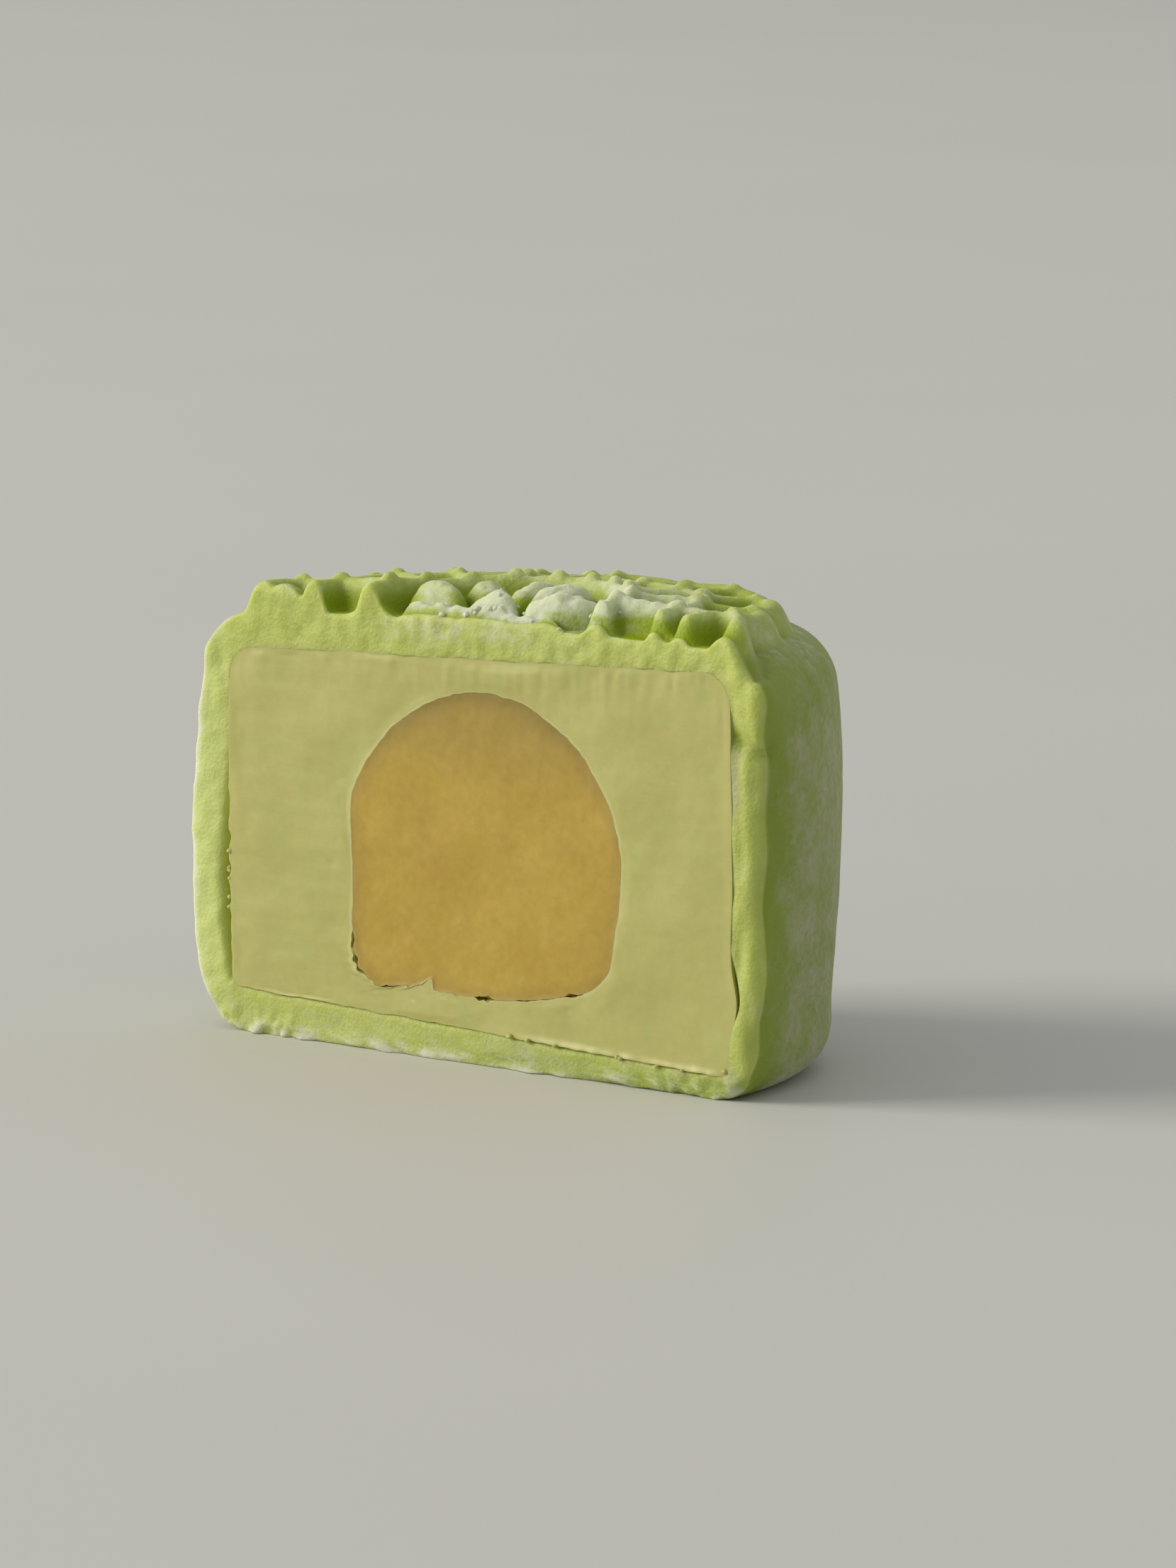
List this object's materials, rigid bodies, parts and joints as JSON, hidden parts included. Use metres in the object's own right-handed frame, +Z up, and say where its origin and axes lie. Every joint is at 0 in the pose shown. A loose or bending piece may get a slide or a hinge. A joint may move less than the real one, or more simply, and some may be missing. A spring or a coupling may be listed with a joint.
{
  "type": "cut mooncake half",
  "caption": "Half of a round snow-skin mooncake, cut through to show a soft green skin with a moulded top, a pale bean filling and a round custard core.",
  "frame": {"origin": "under the middle of the piece, on the surface that it stands on", "axes": "+Z up, +X along the cut to its right-hand end, -Y out of the cut face"},
  "size_m": [0.0624, 0.0318, 0.0404],
  "materials": {
    "skin": "soft glutinous rice skin, matt, with a haze of dry flour",
    "filling": "smooth bean paste, cut with a knife, faintly moist",
    "core": "dense custard, cut with a knife, faintly moist"
  },
  "bodies": {
    "root": {"skin": "skin", "filling": "filling", "core": "core"}
  },
  "joints": []
}
